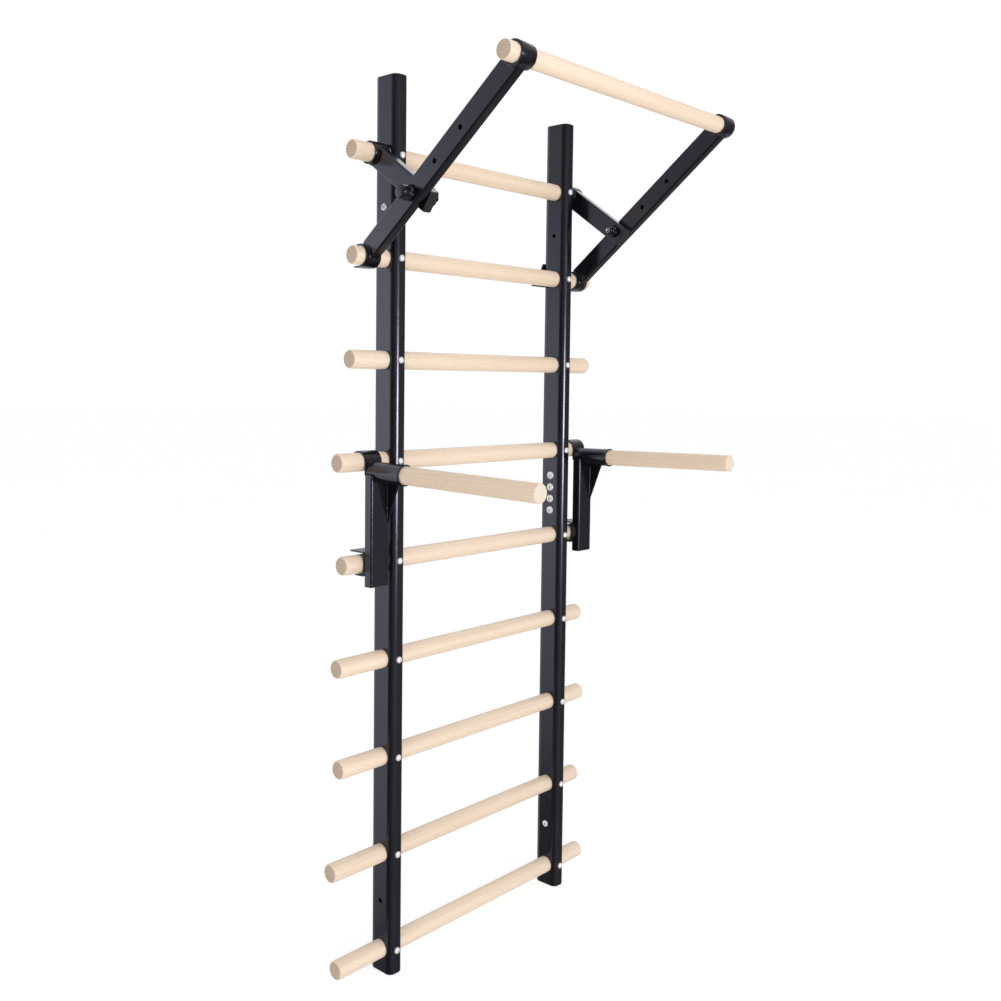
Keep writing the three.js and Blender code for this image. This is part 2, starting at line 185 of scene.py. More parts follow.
def wood_material(name, axis, end_grain=False):
    """Pale steamed beech: growth rings round an off-centre pith, long streaks, short dark flecks."""
    m, n, bsdf = new_material(name)
    coord = n.add("ShaderNodeTexCoord").outputs["Object"]
    rnd = n.add("ShaderNodeObjectInfo").outputs["Random"]
    w = n.math("MULTIPLY", rnd, 41.0)
    # move the pith for every piece
    comb = n.add("ShaderNodeCombineXYZ")
    shift = n.math("MULTIPLY", n.math("SUBTRACT", n.math("FRACT", n.math("MULTIPLY", rnd, 7.31)), 0.5), 0.30)
    drop = n.math("ADD", n.math("MULTIPLY", n.math("FRACT", n.math("MULTIPLY", rnd, 3.17)), 0.05), 0.03)
    if axis == "X":
        n.link(shift, comb.inputs[1])
        n.link(drop, comb.inputs[2])
    else:
        n.link(shift, comb.inputs[0])
        n.link(drop, comb.inputs[2])
    add = n.add("ShaderNodeVectorMath", operation="ADD")
    n.link(coord, add.inputs[0])
    n.link(comb.outputs[0], add.inputs[1])
    s = (lambda a, b: (a, b, b)) if axis == "X" else (lambda a, b: (b, a, b))
    rings = n.add("ShaderNodeTexWave", wave_type="RINGS", rings_direction=axis, wave_profile="SIN")
    rings.inputs["Scale"].default_value = 62.0
    rings.inputs["Distortion"].default_value = 3.2
    rings.inputs["Detail"].default_value = 2.0
    rings.inputs["Detail Scale"].default_value = 0.35
    rings.inputs["Detail Roughness"].default_value = 0.55
    n.link(n.mapping(add.outputs[0], s(0.12, 1.0)), rings.inputs["Vector"])
    broad = n.noise(n.mapping(coord, s(1.1, 26.0)), 1.0, 3.0, 0.55, w)
    streak = n.noise(n.mapping(coord, s(3.2, 260.0)), 1.0, 4.0, 0.6, w)
    fine = n.noise(n.mapping(coord, s(22.0, 1100.0)), 1.0, 3.0, 0.6, w)
    flecks = n.noise(n.mapping(coord, s(95.0, 1500.0)), 1.0, 1.0, 0.5, w)
    cloud = n.noise(coord, 5.0, 2.0, 0.5, w)
    if end_grain:
        base = n.ramp(rings.outputs["Fac"], [(0.0, (0.56, 0.45, 0.35)), (0.55, (0.69, 0.57, 0.455)), (1.0, (0.49, 0.385, 0.295))])
        pores = n.noise(coord, 1400.0, 2.0, 0.6, w)
        colour = n.mix(n.range(pores, 0.5, 0.72, 0.0, 0.5), base, (0.34, 0.255, 0.185))
        if axis == "Y":
            colour = n.mix(0.55, colour, (0.90, 0.80, 0.70))
        n.link(colour, bsdf.inputs["Base Color"])
        n.link(n.range(pores, 0.2, 0.8, 0.62, 0.85), bsdf.inputs["Roughness"])
        h = n.math("ADD", n.math("MULTIPLY", rings.outputs["Fac"], 0.35), n.math("MULTIPLY", pores, 0.65))
        n.link(n.bump(h, 0.25, 0.0003), bsdf.inputs["Normal"])
        bsdf.inputs["Specular IOR Level"].default_value = 0.25
        return m
    base = n.ramp(broad, [(0.22, (0.80, 0.632, 0.482)), (0.5, (0.872, 0.718, 0.572)), (0.78, (0.90, 0.768, 0.64))])
    late = n.range(rings.outputs["Fac"], 0.35, 1.0, 0.0, 0.26)
    colour = n.mix(late, base, (0.745, 0.565, 0.415))
    colour = n.mix(n.range(streak, 0.46, 0.78, 0.0, 0.34), colour, (0.69, 0.50, 0.345))
    colour = n.mix(n.range(streak, 0.22, 0.44, 0.22, 0.0), colour, (0.935, 0.83, 0.71))
    colour = n.mix(n.range(flecks, 0.63, 0.74, 0.0, 0.42), colour, (0.43, 0.265, 0.15))
    colour = n.mix(n.range(fine, 0.5, 0.8, 0.0, 0.18), colour, (0.55, 0.37, 0.23))
    colour = n.mix(n.range(cloud, 0.52, 0.78, 0.0, 0.16), colour, (0.815, 0.59, 0.44))
    n.link(colour, bsdf.inputs["Base Color"])
    n.link(n.range(n.math("ADD", n.math("MULTIPLY", streak, 0.6), n.math("MULTIPLY", fine, 0.4)), 0.3, 0.7, 0.40, 0.58), bsdf.inputs["Roughness"])
    h = n.math("ADD", n.math("MULTIPLY", streak, 0.5), n.math("SUBTRACT", n.math("MULTIPLY", fine, 0.4), n.math("MULTIPLY", flecks, 0.35)))
    n.link(n.bump(h, 0.16, 0.0002), bsdf.inputs["Normal"])
    bsdf.inputs["Specular IOR Level"].default_value = 0.38
    return m


def paint_material(name):
    """Glossy black powder coat with a fine orange peel."""
    m, n, bsdf = new_material(name)
    coord = n.add("ShaderNodeTexCoord").outputs["Object"]
    peel = n.noise(coord, 520.0, 2.0, 0.5)
    fine = n.noise(coord, 2600.0, 2.0, 0.6)
    cloud = n.noise(coord, 7.0, 3.0, 0.55)
    dust = n.noise(coord, 900.0, 4.0, 0.7)
    col = n.mix(n.range(cloud, 0.3, 0.7, 0.0, 1.0), (0.0042, 0.0042, 0.0052), (0.0066, 0.0066, 0.0078))
    col = n.mix(n.range(dust, 0.66, 0.82, 0.0, 0.35), col, (0.026, 0.026, 0.029))
    n.link(col, bsdf.inputs["Base Color"])
    r = n.math("ADD", n.math("MULTIPLY", cloud, 0.10), n.math("MULTIPLY", fine, 0.06))
    n.link(n.math("ADD", r, 0.11), bsdf.inputs["Roughness"])
    n.link(n.bump(n.math("ADD", n.math("MULTIPLY", peel, 0.8), n.math("MULTIPLY", fine, 0.2)), 0.025, 0.00025), bsdf.inputs["Normal"])
    bsdf.inputs["Specular IOR Level"].default_value = 0.70
    bsdf.inputs["Specular Tint"].default_value = (0.78, 0.77, 1.0, 1.0)
    return m


def steel_material(name):
    """Blackened steel of the clamp studs, oiled, with a worn turned grain."""
    m, n, bsdf = new_material(name)
    coord = n.add("ShaderNodeTexCoord").outputs["Object"]
    grain = n.noise(n.mapping(coord, (2600.0, 500.0, 500.0)), 1.0, 2.0, 0.55)
    wear = n.noise(coord, 600.0, 3.0, 0.6)
    n.link(n.mix(n.range(wear, 0.55, 0.8, 0.0, 0.5), (0.018, 0.018, 0.02), (0.075, 0.073, 0.07)), bsdf.inputs["Base Color"])
    n.link(n.math("ADD", n.math("MULTIPLY", grain, 0.14), 0.14), bsdf.inputs["Roughness"])
    n.link(n.bump(grain, 0.10, 0.0001), bsdf.inputs["Normal"])
    bsdf.inputs["Metallic"].default_value = 0.6
    return m


def zinc_material(name):
    """Bright zinc plating, slightly mottled, with turned-in fine scratches."""
    m, n, bsdf = new_material(name)
    coord = n.add("ShaderNodeTexCoord").outputs["Object"]
    mottle = n.noise(coord, 420.0, 3.0, 0.6)
    scratch = n.noise(n.mapping(coord, (3200.0, 260.0, 3200.0)), 1.0, 2.0, 0.5)
    col = n.ramp(mottle, [(0.25, (0.80, 0.805, 0.82)), (0.55, (0.90, 0.905, 0.915)), (0.8, (0.92, 0.91, 0.88))])
    n.link(col, bsdf.inputs["Base Color"])
    bsdf.inputs["Metallic"].default_value = 0.40
    n.link(n.math("ADD", n.math("ADD", n.math("MULTIPLY", mottle, 0.22), n.math("MULTIPLY", scratch, 0.14)), 0.20), bsdf.inputs["Roughness"])
    n.link(n.bump(scratch, 0.08, 0.00008), bsdf.inputs["Normal"])
    return m


def plastic_material(name, rough=0.40, tone=1.0, tint=(1.0, 1.0, 1.0, 1.0)):
    """Moulded black polyamide with a fine spark-eroded grain."""
    m, n, bsdf = new_material(name)
    coord = n.add("ShaderNodeTexCoord").outputs["Object"]
    grain = n.noise(coord, 1900.0, 3.0, 0.65)
    cloud = n.noise(coord, 35.0, 2.0, 0.5)
    col = n.mix(cloud, (0.011 * tone, 0.011 * tone, 0.0118 * tone), (0.021 * tone, 0.021 * tone, 0.022 * tone))
    col = n.mix(n.range(grain, 0.6, 0.85, 0.0, 0.4), col, (0.04 * tone, 0.04 * tone, 0.042 * tone))
    n.link(col, bsdf.inputs["Base Color"])
    n.link(n.math("ADD", n.math("MULTIPLY", grain, 0.18), rough - 0.08), bsdf.inputs["Roughness"])
    n.link(n.bump(grain, 0.10, 0.00018), bsdf.inputs["Normal"])
    bsdf.inputs["Specular IOR Level"].default_value = 0.6
    bsdf.inputs["Specular Tint"].default_value = tint
    return m


WOOD_X = wood_material("wood_along_x", "X")
WOOD_Y = wood_material("wood_along_y", "Y")
END_X = wood_material("end_grain_x", "X", True)
END_Y = wood_material("end_grain_y", "Y", True)
PAINT = paint_material("black_paint")
ZINC = zinc_material("zinc")
PLASTIC = plastic_material("black_plastic")
STEEL = steel_material("blackened_steel")
KNOB = plastic_material("black_knob", 0.20, 0.42, (0.78, 0.77, 1.0, 1.0))


# ------------------------------------------------------------------ mesh helpers
def make(name, verts, faces, mats, fmat=None, sharp=35.0):
    me = bpy.data.meshes.new(name)
    me.from_pydata([(v[0] * MM, v[1] * MM, v[2] * MM) for v in verts], [], faces)
    for m in mats:
        me.materials.append(m)
    if fmat:
        me.polygons.foreach_set("material_index", fmat)
    me.update()
    bm = bmesh.new()
    bm.from_mesh(me)
    bmesh.ops.recalc_face_normals(bm, faces=bm.faces)
    bm.to_mesh(me)
    bm.free()
    smooth(me, sharp)
    ob = bpy.data.objects.new(name, me)
    scene.collection.objects.link(ob)
    return ob


def smooth(me, sharp=35.0):
    me.shade_smooth()
    me.set_sharp_from_angle(angle=math.radians(sharp))


def round_rect(w, h, r, seg):
    pts = []
    for cx, cy, a0 in ((w / 2 - r, h / 2 - r, 0), (-w / 2 + r, h / 2 - r, 90), (-w / 2 + r, -h / 2 + r, 180), (w / 2 - r, -h / 2 + r, 270)):
        for i in range(seg + 1):
            a = math.radians(a0 + 90 * i / seg)
            pts.append((cx + r * math.cos(a), cy + r * math.sin(a)))
    return pts


def prism(pts, origin, u, v, w, length):
    """Solid prism of a polygon in (u, v), along w from origin."""
    o, u, v, w = Vector(origin), Vector(u), Vector(v), Vector(w)
    n = len(pts)
    verts = [o + u * a + v * b for a, b in pts] + [o + u * a + v * b + w * length for a, b in pts]
    faces = [tuple(range(n - 1, -1, -1)), tuple(range(n, 2 * n))]
    faces += [(i, (i + 1) % n, n + (i + 1) % n, n + i) for i in range(n)]
    return verts, faces


def hollow(outer, inner, origin, u, v, w, length):
    """Open tube between two polygons with the same number of points."""
    o, u, v, w = Vector(origin), Vector(u), Vector(v), Vector(w)
    n = len(outer)
    loops = []
    for pts, d in ((outer, 0), (outer, length), (inner, length), (inner, 0)):
        loops.append([o + u * a + v * b + w * d for a, b in pts])
    verts = [p for loop in loops for p in loop]
    faces = []
    for k in range(4):
        a, b = k * n, ((k + 1) % 4) * n
        faces += [(a + i, a + (i + 1) % n, b + (i + 1) % n, b + i) for i in range(n)]
    return verts, faces


def cyl(r, a, b, seg):
    a, b = Vector(a), Vector(b)
    w = (b - a).normalized()
    u = w.orthogonal().normalized()
    v = w.cross(u)
    pts = [(r * math.cos(2 * math.pi * i / seg), r * math.sin(2 * math.pi * i / seg)) for i in range(seg)]
    return prism(pts, a, u, v, w, (b - a).length)


def box(x0, x1, y0, y1, z0, z1):
    return prism([(x0, y0), (x1, y0), (x1, y1), (x0, y1)], (0, 0, z0), (1, 0, 0), (0, 1, 0), (0, 0, 1), z1 - z0)


def merge(parts):
    verts, faces = [], []
    for v, f in parts:
        k = len(verts)
        verts += list(v)
        faces += [tuple(i + k for i in q) for q in f]
    return verts, faces


def cut(ob, cutters, sharp=35.0, op="DIFFERENCE"):
    c = make("cutter", *merge(cutters), [])
    mod = ob.modifiers.new("b", "BOOLEAN")
    mod.operation = op
    mod.object = c
    mod.solver = "EXACT"
    deps = bpy.context.evaluated_depsgraph_get()
    me = bpy.data.meshes.new_from_object(ob.evaluated_get(deps))
    ob.modifiers.clear()
    old = ob.data
    ob.data = me
    bpy.data.meshes.remove(old)
    cm = c.data
    bpy.data.objects.remove(c)
    bpy.data.meshes.remove(cm)
    smooth(me, sharp)
    return ob


def edges(ob, width, seg=2, angle=40.0):
    b = ob.modifiers.new("edge", "BEVEL")
    b.limit_method = "ANGLE"
    b.angle_limit = math.radians(angle)
    b.width = width * MM
    b.segments = seg
    b.use_clamp_overlap = True
    w = ob.modifiers.new("normals", "WEIGHTED_NORMAL")
    w.keep_sharp = True
    return ob


def lathe(name, profile, origin, axis, mats, seg=64, end_mat=None, sharp=35.0):
    """Turned solid. profile is (radius, height) from one end to the other; radius 0 at an end makes a pole, otherwise a flat cap."""
    o, w = Vector(origin), Vector(axis).normalized()
    u = Vector((0, 0, 1)) if abs(w.z) < 0.9 else Vector((1, 0, 0))
    u = (u - w * u.dot(w)).normalized()
    v = w.cross(u)
    verts, rings, faces, fm = [], [], [], []
    for r, h in profile:
        if r < 1e-6:
            rings.append([len(verts)])
            verts.append(o + w * h)
        else:
            rings.append(list(range(len(verts), len(verts) + seg)))
            for i in range(seg):
                a = 2 * math.pi * i / seg
                verts.append(o + w * h + u * (r * math.cos(a)) + v * (r * math.sin(a)))
    for k in range(len(rings) - 1):
        a, b = rings[k], rings[k + 1]
        (ra, ha), (rb, hb) = profile[k], profile[k + 1]
        flat = end_mat is not None and abs(hb - ha) < 0.75 * abs(rb - ra)
        for i in range(seg):
            j = (i + 1) % seg
            if len(a) == 1:
                faces.append((a[0], b[j], b[i]))
            elif len(b) == 1:
                faces.append((a[i], a[j], b[0]))
            else:
                faces.append((a[i], a[j], b[j], b[i]))
            fm.append(end_mat if flat else 0)
    for ring, last in ((rings[0], False), (rings[-1], True)):
        if len(ring) > 1:
            faces.append(tuple(ring) if last else tuple(reversed(ring)))
            fm.append(end_mat if end_mat is not None else 0)
    return make(name, verts, faces, mats, fm, sharp)


def round_end(r, h, rad, out, steps=6):
    """Profile points of a rounded end: out is +1 when the end looks along +height."""
    pts = []
    for i in range(steps + 1):
        a = math.pi / 2 * i / steps
        pts.append((r - rad + rad * math.cos(a), h - out * rad + out * rad * math.sin(a)))
    return pts


def bead(name, path, ups, radius, closed=True, seg=8, ripple=0.14, pitch=2.6):
    """Weld bead: a rippled sweep along a path. ups gives the outward direction at each point."""
    n = len(path)
    verts, faces = [], []
    run = 0.0
    for i in range(n):
        a = path[(i - 1) % n] if (closed or i > 0) else path[i]
        b = path[(i + 1) % n] if (closed or i < n - 1) else path[i]
        t = (b - a).normalized()
        up = (ups[i] - t * ups[i].dot(t)).normalized()
        side = t.cross(up)
        if i:
            run += (path[i] - path[i - 1]).length
        k = 1.0 + ripple * math.sin(run / pitch * 2 * math.pi)
        fade = 1.0 if closed else min(1.0, 0.35 + 0.65 * min(i, n - 1 - i) / 3.0)
        for j in range(seg):
            c = 2 * math.pi * j / seg
            verts.append(path[i] + (side * (1.15 * math.cos(c)) + up * (0.75 * math.sin(c))) * radius * k * fade)
    m = n if closed else n - 1
    for i in range(m):
        for j in range(seg):
            p, q = (i + 1) % n, (j + 1) % seg
            faces.append((i * seg + j, p * seg + j, p * seg + q, i * seg + q))
    if not closed:
        faces.append(tuple(range(seg - 1, -1, -1)))
        faces.append(tuple((n - 1) * seg + j for j in range(seg)))
    return make(name, verts, faces, [PAINT], sharp=80)


def placed(ob, body, slot, *replaced):
    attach(ob, body)
    if replaced:
        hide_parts(*replaced)
    return ob


X, Y, Z = Vector((1, 0, 0)), Vector((0, 1, 0)), Vector((0, 0, 1))

# ------------------------------------------------------------------ posts
CAP = 2.5
for side, sx in SIDES:
    x = sx * POST_X
    for half, z0, z1, ks in (("lower", CAP, SEAM_Z - 0.35, range(5, 10)), ("upper", SEAM_Z, POST_H - CAP, range(1, 5))):
        outer = round_rect(POST_W, POST_D, POST_R, 16)
        inner = round_rect(POST_W - 2 * POST_T, POST_D - 2 * POST_T, POST_R - POST_T, 16)
        ob = make(f"post_tube_{side}_{half}", *hollow(outer, inner, (x, RUNG_Y, z0), X, Y, Z, z1 - z0), [PAINT])
        zb = BRACKET_Z[half]
        cutters = [cyl(RUNG_R + 1.0, (x - 25, RUNG_Y, rung_z(k)), (x + 25, RUNG_Y, rung_z(k)), 56) for k in ks]
        cutters.append(cyl(4.6, (x - 25, RUNG_Y, zb), (x + 25, RUNG_Y, zb), 28))
        cutters.append(box(x - 2.6, x + 2.6, RUNG_Y + POST_D / 2 - 6, RUNG_Y + POST_D / 2 + 3, zb - 24, zb + 24))
        cut(ob, cutters)
        edges(ob, 0.55, 2, 50)
        placed(ob, "frame", "black_paint", f"post_{side}_{half}")
        # end cap
        zc = 0.0 if half == "lower" else POST_H - CAP + 0.1
        cap = make(f"post_cap_{side}_{half}", *prism(round_rect(POST_W - 0.3, POST_D - 0.3, POST_R - 0.15, 16), (x, RUNG_Y, zc), X, Y, Z, CAP - 0.1), [PLASTIC])
        edges(cap, 0.9, 3, 50)
        placed(cap, "frame", "black_plastic")
    # spigot seen in the joint line
    sp = make(f"post_spigot_{side}", *hollow(round_rect(29.4, 55.4, 10.7, 10), round_rect(24.4, 50.4, 8.2, 10), (x, RUNG_Y, SEAM_Z - 50), X, Y, Z, 100), [PAINT])
    placed(sp, "frame", "black_paint")

# ------------------------------------------------------------------ rungs, pull-up bar, handles
def dowel(name, r, a, b, rad, origin, axis, mats, tip=None):
    prof = list(reversed(round_end(r, a, rad, -1)))
    prof += round_end(r, b, tip or rad, 1)
    return lathe(name, prof, origin, axis, mats, 72, 1, 40)


for k in range(1, 10):
    ob = dowel(f"rung_wood_{k}", RUNG_R, RUNG_LEFT[k - 1], RUNG_RIGHT[k - 1], 4.2, (0, RUNG_Y, rung_z(k)), X, [WOOD_X, END_X])
    placed(ob, "frame", "wood", f"rung_{k}")
ob = dowel("pullup_bar_wood", BAR_R, BAR_ENDS[0], BAR_ENDS[1], 2.4, (0, BAR.y, BAR.z), X, [WOOD_X, END_X])
placed(ob, "pullup_unit", "wood", "pullup_bar")
for side, sx in SIDES:
    at, along, _ = grip_axis(side)
    ob = dowel(f"dip_handle_wood_{side}", HANDLE_R, *DIP_HANDLE[side], 1.5, at, along, [WOOD_Y, END_Y], 4.0)
    placed(ob, f"dip_{side}", "wood", f"dip_handle_{side}")


# ------------------------------------------------------------------ screws and bolts (head along +Z, under-head face at 0)
def dome(r, h, edge, steps=7):
    pts = [(r, 0.0), (r, edge)]
    for i in range(1, steps + 1):
        a = math.pi / 2 * i / steps
        pts.append((r * math.cos(a) if i < steps else 0.0, edge + (h - edge) * math.sin(a)))
    return pts


def screw_mesh():
    prof = [(0.0, -24.0), (1.2, -22.5), (2.2, -20.0), (2.2, 0.0)] + dome(6.15, 4.5, 1.2)
    ob = lathe("screw", prof, (0, 0, 0), Z, [ZINC], 40)
    cross = []
    for a in (0.35, 0.35 + math.pi / 2):
        u = Vector((math.cos(a), math.sin(a), 0))
        v = Vector((-math.sin(a), math.cos(a), 0))
        cross.append(prism([(-2.6, -0.5), (2.6, -0.5), (2.6, 0.5), (-2.6, 0.5)], (0, 0, 2.7), u, v, Z, 4))
    cut(ob, [cross[0]])
    cut(ob, [cross[1]])
    me = ob.data.copy()
    bpy.data.objects.remove(ob)
    return me


def bolt_mesh(shank, r, h, key):
    prof = [(0.0, -shank), (3.2, -shank), (4.0, -shank + 1.0), (4.0, 0.0)] + dome(r, h, 0.9)
    ob = lathe("bolt", prof, (0, 0, 0), Z, [ZINC], 48)
    hexa = [(key / math.cos(math.pi / 6) * math.cos(math.pi / 3 * i), key / math.cos(math.pi / 6) * math.sin(math.pi / 3 * i)) for i in range(6)]
    cut(ob, [prism(hexa, (0, 0, 0.6), X, Y, Z, 6)])
    me = ob.data.copy()
    bpy.data.objects.remove(ob)
    return me


def fastener(name, me, at, direction, node, spin=0.0):
    ob = bpy.data.objects.new(name, me)
    scene.collection.objects.link(ob)
    q = Vector((0, 0, 1)).rotation_difference(Vector(direction))
    ob.matrix_world = Matrix.Translation(Vector(at) * MM) @ q.to_matrix().to_4x4() @ Matrix.Rotation(spin, 4, "Z")
    placed(ob, "frame", "zinc", node)


SCREW = screw_mesh()
BOLT_SHORT = bolt_mesh(11.0, 8.4, 4.9, 2.9)
BOLT_LONG = bolt_mesh(24.0, 7.0, 4.4, 2.55)
for side, sx in SIDES:
    x = sx * POST_X
    for k in range(1, 10):
        fastener(f"rung_screw_head_{side}_{k}", SCREW, (x, RUNG_Y - POST_D / 2 - 0.05, rung_z(k)), -Y, f"rung_screw_{side}_{k}", k * 1.37 + sx)
    for i, dz in enumerate(SPLICE):
        fastener(f"splice_bolt_head_{side}_{i + 1}", BOLT_SHORT, (x - sx * (POST_W / 2 + 0.05), RUNG_Y, SEAM_Z + dz), -X * sx, f"splice_bolt_{side}_{i + 1}", i * 0.7)
    for level in ("upper", "lower"):
        d = sx if level == "upper" else -sx
        fastener(f"bracket_bolt_head_{side}_{level}", BOLT_LONG, (x + d * (POST_W / 2 + 0.05), RUNG_Y, BRACKET_Z[level]), X * d, f"bracket_bolt_{side}_{level}", 0.4)


# ------------------------------------------------------------------ 40 x 20 tubes with coped ends
def beam(name, x, start, direction, s0, s1, cutters):
    """Rectangular tube in the YZ plane, its tall side in that plane."""
    d = Vector(direction)
    u = X.cross(d)
    ob = make(name, *hollow(round_rect(TUBE_H, TUBE_B, TUBE_R, 5), round_rect(TUBE_H - 2 * TUBE_T, TUBE_B - 2 * TUBE_T, TUBE_R - TUBE_T, 5),
                            Vector((x, start.y, start.z)) + d * s0, u, X, d, s1 - s0), [PAINT])
    if cutters:
        cut(ob, cutters)
    return edges(ob, 0.4, 2, 50)


def ring(name, x, axis_pt, r_out, r_in, width, mat=None, seg=72):
    h = width / 2
    e = 0.8
    prof = [(r_in, -h + e), (r_in + e, -h), (r_out - e, -h), (r_out - 0.25 * e, -h + 0.25 * e), (r_out, -h + e),
            (r_out, h - e), (r_out - 0.25 * e, h - 0.25 * e), (r_out - e, h), (r_in + e, h), (r_in, h - e)]
    o = Vector((x, axis_pt.y, axis_pt.z))
    verts, faces = [], []
    n = len(prof)
    for i in range(seg):
        a = 2 * math.pi * i / seg
        for r, d in prof:
            verts.append(o + X * d + Y * (r * math.cos(a)) + Z * (r * math.sin(a)))
    for i in range(seg):
        j = (i + 1) % seg
        for k in range(n):
            m = (k + 1) % n
            faces.append((i * n + k, j * n + k, j * n + m, i * n + m))
    return make(name, verts, faces, [mat or PAINT], sharp=50)


def saddle_bead(name, x, axis_pt, r, direction, half_w, half_h, radius=1.7):
    """Bead round a rectangular tube where it meets a cross pipe of radius r."""
    d = Vector(direction)
    u = X.cross(d)
    loop = round_rect(2 * half_h, 2 * half_w, 3.0, 4)
    dense = []
    for i in range(len(loop)):
        a, b = Vector(loop[i]), Vector(loop[(i + 1) % len(loop)])
        m = max(1, int((b - a).length / 0.9))
        dense += [a.lerp(b, k / m) for k in range(m)]
    path, ups = [], []
    o = Vector((x, axis_pt.y, axis_pt.z))
    for p in dense:
        a = max(-r + 0.05, min(r - 0.05, p.x))
        along = math.sqrt(r * r - a * a)
        radial = (u * a + d * along).normalized()
        flat = (u * p.x + X * p.y).normalized()
        path.append(o + u * a + d * along + X * p.y)
        ups.append((radial + flat * 0.9).normalized())
    return bead(name, path, ups, radius)


def arc_pts(cx, cy, r, a0, a1, n):
    return [(cx + r * math.cos(math.radians(a0 + (a1 - a0) * i / n)), cy + r * math.sin(math.radians(a0 + (a1 - a0) * i / n))) for i in range(n + 1)]


def fork(name, x, width, c, r, t, lip_top, lip_bottom):
    """U strap open to the back, round a rung."""
    pts = [(c.y + lip_top, c.z + r + t)] + arc_pts(c.y, c.z, r + t, 90, 270, 36) + [(c.y + lip_bottom, c.z - r - t), (c.y + lip_bottom, c.z - r)]
    pts += arc_pts(c.y, c.z, r, 270, 90, 36) + [(c.y + lip_top, c.z + r)]
    ob = make(name, *prism(pts, (x - width / 2, 0, 0), Y, Z, X, width), [PAINT])
    return edges(ob, 0.6, 2, 50)


def plug(name, x, start, direction, s, body, rim=1.0):
    """Plastic end plug of a 40 x 20 tube."""
    d = Vector(direction)
    u = X.cross(d)
    ob = make(name, *prism(round_rect(TUBE_H - 0.4, TUBE_B - 0.4, TUBE_R - 0.2, 5), Vector((x, start.y, start.z)) + d * s, u, X, d, 2.0), [PLASTIC])
    edges(ob, 0.7, 3, 50)
    return placed(ob, body, "black_plastic")


def lobed(name, origin, sx, levels, bore=None, lobes=7, seg=112):
    """Moulded knob along X: levels are (radius, height, lobe depth 0..1)."""
    o = Vector(origin)
    verts, faces = [], []
    rows = list(levels)
    if bore:
        rows += [(bore, levels[-1][1], 0.0), (bore, levels[0][1], 0.0)]
    for rad, h, lob in rows:
        for i in range(seg):
            a = 2 * math.pi * i / seg
            q = rad * (1 - 0.17 * lob * (0.5 - 0.5 * math.cos(lobes * a)) ** 1.3)
            verts.append(o + Vector((sx * h, q * math.cos(a), q * math.sin(a))))
    n = len(rows)
    for k in range(n if bore else n - 1):
        m = (k + 1) % n
        for i in range(seg):
            j = (i + 1) % seg
            faces.append((k * seg + i, k * seg + j, m * seg + j, m * seg + i))
    if not bore:
        faces.append(tuple(range(seg - 1, -1, -1)))
        faces.append(tuple((n - 1) * seg + i for i in range(seg)))
    return make(name, verts, faces, [KNOB], sharp=50)


HEAD_LEVELS = {
    "left": [(6.0, 0.0, 0.0), (13.2, 0.0, 0.3), (14.0, 0.5, 0.6), (14.9, 1.3, 1.0), (15.4, 2.4, 1.0), (15.4, 5.8, 1.0), (14.9, 7.0, 0.9), (13.9, 7.8, 0.5), (13.1, 8.4, 0.1),
             (12.8, 9.4, 0.0), (12.6, 14.0, 0.0), (12.7, 20.0, 0.0), (12.6, 22.8, 0.0), (12.0, 24.3, 0.0), (10.8, 25.3, 0.0), (9.0, 25.8, 0.0), (4.0, 25.9, 0.0), (1.0, 25.9, 0.0)],
    "right": [(6.0, 0.0, 0.0), (11.2, 0.0, 0.0), (11.8, 0.6, 0.0), (11.9, 1.6, 0.0), (11.3, 2.4, 0.0), (11.2, 6.5, 0.0), (11.8, 9.4, 0.0), (11.4, 10.9, 0.0),
              (10.4, 12.0, 0.0), (8.6, 12.7, 0.0), (4.0, 12.9, 0.0), (1.0, 12.9, 0.0)],
}
KNOB_LEVELS = {
    "left": [(10.2, 0.0, 0.0), (14.1, 0.0, 0.25), (14.8, 0.6, 0.3), (15.7, 1.4, 1.0), (16.2, 2.4, 1.0), (16.4, 4.0, 1.0), (16.4, 12.6, 1.0), (16.2, 14.2, 1.0),
             (15.4, 15.6, 0.8), (14.1, 16.6, 0.5), (11.8, 16.9, 0.2), (8.2, 16.6, 0.0), (7.4, 16.2, 0.0), (6.6, 16.0, 0.0)],
    "right": [(8.7, 0.0, 0.0), (12.0, 0.0, 0.25), (12.7, 0.5, 0.5), (13.5, 1.2, 1.0), (13.9, 2.2, 1.0), (13.9, 5.8, 1.0), (13.5, 7.0, 0.9), (12.4, 7.8, 0.6),
              (10.2, 7.9, 0.2), (9.2, 8.3, 0.0), (8.9, 9.2, 0.0), (8.8, 17.0, 0.0), (8.4, 18.2, 0.0), (7.4, 18.8, 0.0), (6.2, 18.8, 0.0)],
}

